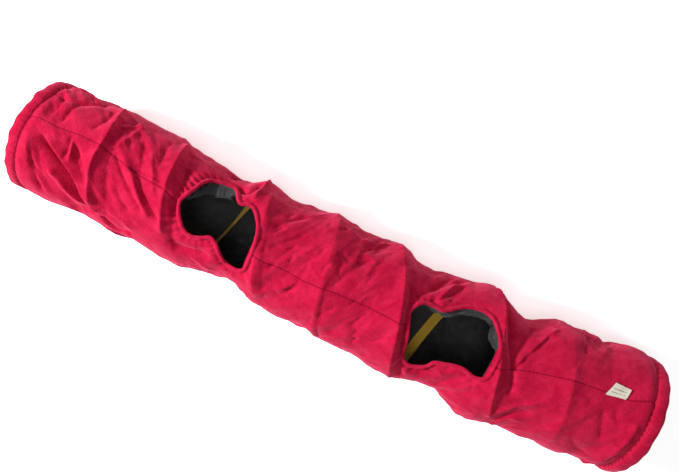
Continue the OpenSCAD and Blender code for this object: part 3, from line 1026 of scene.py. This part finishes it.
def turns_where(x, offset=0.0):
    """Turns at which the coil, or that thread of its tape, comes to x."""
    return np.interp(x, np.maximum.accumulate(helix_x + thread_offset(every_turn, offset)), every_turn)


steel = finish_material(
    "spring_steel",
    {"Base Color": (0.5, 0.5, 0.52, 1), "Metallic": 1.0, "Roughness": 0.32, "Anisotropic": 0.4},
)
tree = steel.node_tree
place = joined(tree, "ShaderNodeTexCoord", {})
drawn = joined(tree, "ShaderNodeTexNoise", {}, Vector=place.outputs["Object"], Scale=240.0, Detail=3.0)
spread = joined(tree, "ShaderNodeMapRange", {}, Value=drawn.outputs["Fac"],
                i1=0.3, i2=0.7, i3=0.24, i4=0.42)
tree.links.new(spread.outputs[0], tree.nodes["Principled BSDF"].inputs["Roughness"])

# The tape's colour is partly its real olive and partly painted light: it is made brighter than the tape's own to
# stand in for light that hardly reaches it inside the tunnel.
tape_cloth = finish_material(
    "olive_tape_painted_bright",
    {"Sheen Weight": 0.2, "Sheen Roughness": 0.5, "Specular IOR Level": 0.3},
    weave,
    {"Colour": (0.72, 0.42, 0.034, 1), "Thread Colour": (0.94, 0.59, 0.072, 1), "Thread Scale": 420.0,
     "Crinkle Scale": 60.0, "Crinkle": 0.3, "Base Roughness": 0.62},
    bump=(0.7, 0.0012),
)


def unit(vectors):
    return vectors / np.linalg.norm(vectors, axis=-1, keepdims=True)


def around(loop):
    """A closed line's direction at each of its points."""
    return unit(np.roll(loop, -1, 0) - np.roll(loop, 1, 0))


def wire_along(name, middle, shut=False, sides=8):
    """Spring-steel wire drawn along a line of points in mm."""
    ahead = around(middle) if shut else unit(np.gradient(middle, axis=0))
    up = from_axis(middle)
    up -= ahead * np.sum(up * ahead, 1)[:, None]
    up = unit(up)
    out = np.cross(ahead, up)
    bm = bmesh.new()
    ring = bmesh.ops.create_circle(bm, segments=sides, radius=1)["verts"]
    loops = [ring]
    for _ in middle[1:]:
        ring_edges = list({e for v in ring for e in v.link_edges})
        copied = bmesh.ops.duplicate(bm, geom=ring + ring_edges)["geom"]
        loops.append([g for g in copied if isinstance(g, bmesh.types.BMVert)])
    for k, loop in enumerate(loops):
        for n, vert in enumerate(loop):
            t = 2 * math.pi * n / sides
            vert.co = Vector((middle[k] + WIRE_D / 2 * (math.cos(t) * up[k] + math.sin(t) * out[k])) * MM)
    for k in range(len(loops) - (0 if shut else 1)):
        chosen = [e for loop in (loops[k], loops[(k + 1) % len(loops)])
                  for e in {e for v in loop for e in v.link_edges if e.other_vert(v) in loop}]
        bmesh.ops.bridge_loops(bm, edges=chosen)
    if not shut:
        bmesh.ops.holes_fill(bm, edges=[e for e in bm.edges if e.is_boundary], sides=sides)
    bmesh.ops.recalc_face_normals(bm, faces=bm.faces)
    for face in bm.faces:
        face.smooth = len(face.verts) == 4
    return made_piece(name, bm, steel)


# the tape lies on the lining on both sides of the wire and bridges it: (mm across, mm in)
ACROSS = [(-TAPE_W / 2, 0.5), (-TAPE_W / 2 + 2.5, 0.7), (-5.0, 1.2), (-2.2, 3.2), (0, 3.7), (2.2, 3.2),
          (5.0, 1.2), (TAPE_W / 2 - 2.5, 0.7), (TAPE_W / 2, 0.5)]


def length_of_wire(name, low, high, count):
    """The coil between two places along the tunnel."""
    turns = np.linspace(turns_where(low), turns_where(high), count)
    wire = wire_along(name, coil_place(turns, thread_offset(turns, 0.0), 0.4 + WIRE_D / 2))
    return wire


def lay_grid(piece, cols, row_step, col_step):
    """UV map in metres that follows the rows and columns of a woven strip."""
    uv = piece.data.uv_layers.new(name="cut")
    for loop in piece.data.loops:
        k = piece.data.attributes["number"].data[loop.vertex_index].value
        uv.data[loop.index].uv = (k // cols * row_step, k % cols * col_step)


def length_of_tape(name, low, high, count):
    """The tape between two places along the tunnel, cut square to the tunnel at both."""
    columns = []
    for offset, inset in ACROSS:
        turns = np.linspace(turns_where(low, offset), turns_where(high, offset), count)
        raised = 0.5 * (offset + TAPE_W / 2) * on_edge(turns)
        columns.append(coil_place(turns, thread_offset(turns, offset), inset + raised))
    surface = np.stack(columns, 1)
    normal = unit(np.cross(np.gradient(surface, axis=1), np.gradient(surface, axis=0)))
    if np.sum(normal * from_axis(surface)) < 0:
        normal = -normal
    tape = piece_of_cloth(name, surface, normal, TAPE_THICK, tape_cloth, shut=False)
    lay_grid(tape, len(ACROSS), 5.0 * MM, 2.6 * MM)
    return tape


TAPE_STOPS = 3.5  # mm before each end hem
for turn in range(1, BAYS + 1):
    start, end = clear_ends[turn]
    wire = length_of_wire(f"wire_turn_{turn}", start, end, 97)
    shorten(wire, turn, "left")
    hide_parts(f"spring_wire_turn_{turn}")
    start += TAPE_STOPS if turn == 1 else 0
    end -= TAPE_STOPS if turn == BAYS else 0
    tape = length_of_tape(f"tape_turn_{turn}", start, end, 145)
    shorten(tape, turn, "right")
    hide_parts(f"wire_tape_turn_{turn}")

for band in range(1, BAYS):
    start, end = stations[band] - FLEX / 2, stations[band] + FLEX / 2
    turn_with_bend(length_of_wire(f"wire_band_{band}", start, end, 15))
    turn_with_bend(length_of_tape(f"tape_band_{band}", start, end, 17))

# ---------------------------------------------------------------- end rings
# A plain ring of the same wire in each end hem, and the pressed oval sleeve
# that joins the coil's tail to it.
RING_R = 115.4  # mm
RING_X = 638.0
SLEEVE_OUT, SLEEVE_IN = 2.2, 1.7  # radius of the round sides of the oval, outside and inside
SLEEVE_APART = 1.35  # from the middle of the oval to the middle of each round side
SLEEVE_LONG = 13.0
SLEEVE_TURN = -0.45  # radians round the ring from the top
for side, body in (("left", "bay_1_left"), ("right", "bay_8_right")):
    sign = -1 if side == "left" else 1
    a = np.linspace(0, 2 * math.pi, 120, endpoint=False)
    x = np.full(len(a), sign * RING_X)
    r = RING_R + hem_radius_shift[side]
    middle = np.stack([x, lie(x) + r * np.sin(a), AXIS_Z + r * np.cos(a)], 1)
    ring = wire_along(f"{side}_ring_wire", middle, shut=True)
    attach(ring, body)
    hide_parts(f"{side}_end_ring")

    # an oval drawn on the floor, pushed up into a sleeve, then laid along the ring
    bm = bmesh.new()
    for size in (SLEEVE_OUT, SLEEVE_IN):
        for v in bmesh.ops.create_circle(bm, segments=16, radius=size * MM)["verts"]:
            v.co.x += (SLEEVE_APART if v.co.x > 0 else -SLEEVE_APART) * MM
    filled = bmesh.ops.bridge_loops(bm, edges=bm.edges[:])["faces"]
    pushed = bmesh.ops.extrude_face_region(bm, geom=filled, use_keep_orig=True)["geom"]
    bmesh.ops.translate(bm, vec=(0, 0, SLEEVE_LONG * MM),
                        verts=[g for g in pushed if isinstance(g, bmesh.types.BMVert)])
    bmesh.ops.recalc_face_normals(bm, faces=bm.faces)
    outwards = Vector((0, math.sin(SLEEVE_TURN), math.cos(SLEEVE_TURN)))
    tangent = Vector((0, math.cos(SLEEVE_TURN), -math.sin(SLEEVE_TURN)))
    start_at = Vector((sign * (RING_X - SLEEVE_APART) * MM, float(lie(sign * RING_X)) * MM, AXIS_Z * MM))
    start_at += outwards * (r - 0.1) * MM - tangent * SLEEVE_LONG / 2 * MM
    for v in bm.verts:
        v.co = start_at + Vector((1, 0, 0)) * v.co.x + outwards * v.co.y + tangent * v.co.z
    sleeve = made_piece(f"{side}_oval_sleeve", bm, steel)
    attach(sleeve, body)
    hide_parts(f"{side}_crimp_sleeve")

# ---------------------------------------------------------------- peephole edges
# A narrow strip of the plush folded over the cut edge of cover and lining and
# sewn through, which draws both into small puckers.
STRIP_THICK = 0.8  # mm
STRIP_POINTS = 300  # round each peephole
# from the cover over the edge to the lining, as (mm away from the opening, mm up)
strip_profile = smooth_line([(4.0, 0.1), (3.3, 1.3), (1.8, 2.2), (-0.4, 2.5), (-2.2, 2.0), (-3.4, 0.6),
                             (-3.8, -1.4), (-3.3, -2.9), (-2.2, -3.8), (-0.4, -4.1), (1.8, -4.0),
                             (3.6, -3.8)], step=1.0)


def closed(loop):
    """A closed line's points with the first again at the end."""
    return np.concatenate([loop, loop[:1]])


edge_samples = {}
for bay, side in ((3, "left"), (6, "right")):
    line = edge_lines[bay]
    gone = np.concatenate([[0], np.cumsum(np.linalg.norm(np.roll(line, -1, 0) - line, axis=1))])
    run = np.linspace(0, gone[-1], STRIP_POINTS + 1)
    flat_x, flat_v = (np.interp(run, gone, closed(line)[:, k]) for k in (0, 1))
    middle, up = (points[:-1] for points in on_cloth(flat_x, flat_v))
    for _ in range(3):
        up = (np.roll(up, 1, 0) + up + np.roll(up, -1, 0)) / 3
    up = unit(up)
    for _ in range(6):
        middle = (np.roll(middle, 1, 0) + 2 * middle + np.roll(middle, -1, 0)) / 4
    ahead = around(middle)
    away = unit(np.cross(ahead, up))
    if np.sum(away * (middle - middle.mean(0))) < 0:
        away = -away
    edge_samples[bay] = (middle, up, away, ahead)

    rng = np.random.default_rng(70 + bay)
    lumps = sum(rng.uniform(0.3, 1) * np.sin(run / gone[-1] * 2 * math.pi * n + rng.uniform(0, 6.3))
                for n in (11, 17, 23, 29, 37))[None, :, None]
    swell = 1 + 0.04 * lumps
    aside, above = strip_profile.T[:, :, None, None]
    surface = closed(middle)[None] + aside * swell * closed(away)[None] + above * swell * closed(up)[None]
    surface += 0.12 * lumps * closed(up)[None]
    surface[:, -1] = surface[:, 0]
    normal = outward(surface)
    if np.sum(normal[len(strip_profile) // 2] * closed(away)) > 0:
        normal = -normal
    piece = piece_of_cloth(f"{side}_peephole_edge", surface, normal, STRIP_THICK, plush)
    shorten(piece, bay, "left")
    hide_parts(f"{side}_peephole_hem")

# ---------------------------------------------------------------- stitching
# Red thread in a row of short stitches round each end hem and each peephole,
# drawn a little into the plush.
thread = finish_material(
    "red_thread",
    {"Sheen Weight": 0.2, "Sheen Roughness": 0.4, "Specular IOR Level": 0.3},
    nap,
    {"Colour": (0.40, 0.004, 0.03, 1), "Brushed Colour": (0.55, 0.01, 0.05, 1),
     "Deep Colour": (0.2, 0, 0.01, 1), "Patch Scale": 90.0, "Fleck Scale": 2200.0},
    bump=(0.5, 0.0003),
)


def row_of_stitches(name, middle, up, ahead, step, long, wide):
    """A stitch of this length and width, in mm, at every step along a row of places."""
    bm = bmesh.new()
    for k in range(0, len(middle), step):
        made = bmesh.ops.create_uvsphere(bm, u_segments=6, v_segments=4, radius=1)["verts"]
        t, n = Vector(ahead[k]), Vector(up[k])
        b = t.cross(n)
        for v in made:
            drawn = t * v.co.z * long / 2 + n * v.co.x * wide / 2 + b * v.co.y * wide / 2
            v.co = Vector(middle[k] * MM) + drawn * MM
    for face in bm.faces:
        face.smooth = True
    bmesh.ops.recalc_face_normals(bm, faces=bm.faces)
    return made_piece(name, bm, thread)


for bay, side in ((3, "left"), (6, "right")):
    middle, up, away, ahead = edge_samples[bay]
    row = row_of_stitches(f"{side}_peephole_stitches", middle + away * 3.2 + up * 1.0, up, ahead,
                          step=2, long=2.4, wide=0.5)
    shorten(row, bay, "left")
SEWN_LINE = 3  # line of the hem's profile that is sewn down
for side, body in (("left", "bay_1_left"), ("right", "bay_8_right")):
    middle, up = (field[SEWN_LINE][:-1] for field in hem_rings[side])
    middle = middle + up * 0.15
    row = row_of_stitches(f"{side}_hem_stitches", middle, up, around(middle),
                          step=3, long=3.2, wide=0.9)
    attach(row, body)

# ---------------------------------------------------------------- label
# A small woven care label, its lower edge caught in the seam, with plain
# printed bars and no lettering.
LABEL_SIZE = (0.034, 0.024)  # m
LABEL_THICK = 0.5  # mm
# upper left, upper right, lower right, lower left, as (x, degrees from the top)
LABEL_CORNERS = [(547, 32), (577, 32), (573, 21.5), (535, 17.5)]
LABEL_COLUMNS, LABEL_ROWS = 40, 30
s = np.linspace(0, 1, LABEL_COLUMNS + 1)[None, :]
t = np.linspace(0, 1, LABEL_ROWS + 1)[:, None]
corners = np.array([spot(x, a) for x, a in LABEL_CORNERS], float)
flat = ((1 - t)[..., None] * ((1 - s)[..., None] * corners[0] + s[..., None] * corners[1])
        + t[..., None] * ((1 - s)[..., None] * corners[3] + s[..., None] * corners[2]))
points, up = on_cloth(flat[..., 0], flat[..., 1])
for field, rounds in ((points, 14), (up, 10)):
    for _ in range(rounds):
        field[1:-1, 1:-1] = (field[:-2, 1:-1] + field[2:, 1:-1] + field[1:-1, :-2] + field[1:-1, 2:]) / 4
up = unit(up.mean((0, 1)) * 0.6 + up * 0.4)
loose = (1 - t) ** 0.7  # 0 at the sewn edge, 1 at the free one
points = points + up * (1.6 + 2.2 * loose + 0.5 * np.sin(s * 3.1 * math.pi + 1) * loose)[..., None]

satin = finish_material(
    "label_satin",
    {"Sheen Weight": 0.1, "Specular IOR Level": 0.4},
    weave,
    {"Colour": (0.62, 0.56, 0.46, 1), "Thread Colour": (0.78, 0.74, 0.66, 1), "Thread Scale": 1600.0,
     "Crinkle Scale": 80.0, "Crinkle": 0.2, "Base Roughness": 0.45},
    bump=(0.4, 0.0006),
)
tree = satin.node_tree
inked = joined(tree, "ShaderNodeAttribute", {"attribute_name": "ink"})
printed = joined(tree, "ShaderNodeMix", {"data_type": "RGBA"}, Factor=inked.outputs["Fac"])
tree.links.new(next(n for n in tree.nodes if n.type == "GROUP").outputs["Colour"], printed.inputs[6])
printed.inputs[7].default_value = (0.16, 0.13, 0.11, 1)
tree.links.new(printed.outputs[2], tree.nodes["Principled BSDF"].inputs["Base Color"])

label = piece_of_cloth("care_label", points, up, LABEL_THICK, satin, shut=False)
# short printed bars in two rows
bars = (abs((t * 100) % 27 - 14) < 4.5) * (t > 0.14) * (t < 0.72) * (s > 0.14) * (s < 0.84)
bars = bars * (np.sin(s * 61 + 9 * np.round(t * 4)) > -0.45)
mark_points(label, "ink", bars)
uv = label.data.uv_layers.new(name="cut")
for loop in label.data.loops:
    k = label.data.attributes["number"].data[loop.vertex_index].value
    row, column = divmod(k, LABEL_COLUMNS + 1)
    uv.data[loop.index].uv = (column / LABEL_COLUMNS * LABEL_SIZE[0], row / LABEL_ROWS * LABEL_SIZE[1])
shorten(label, BAYS, "left")
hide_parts("side_label")
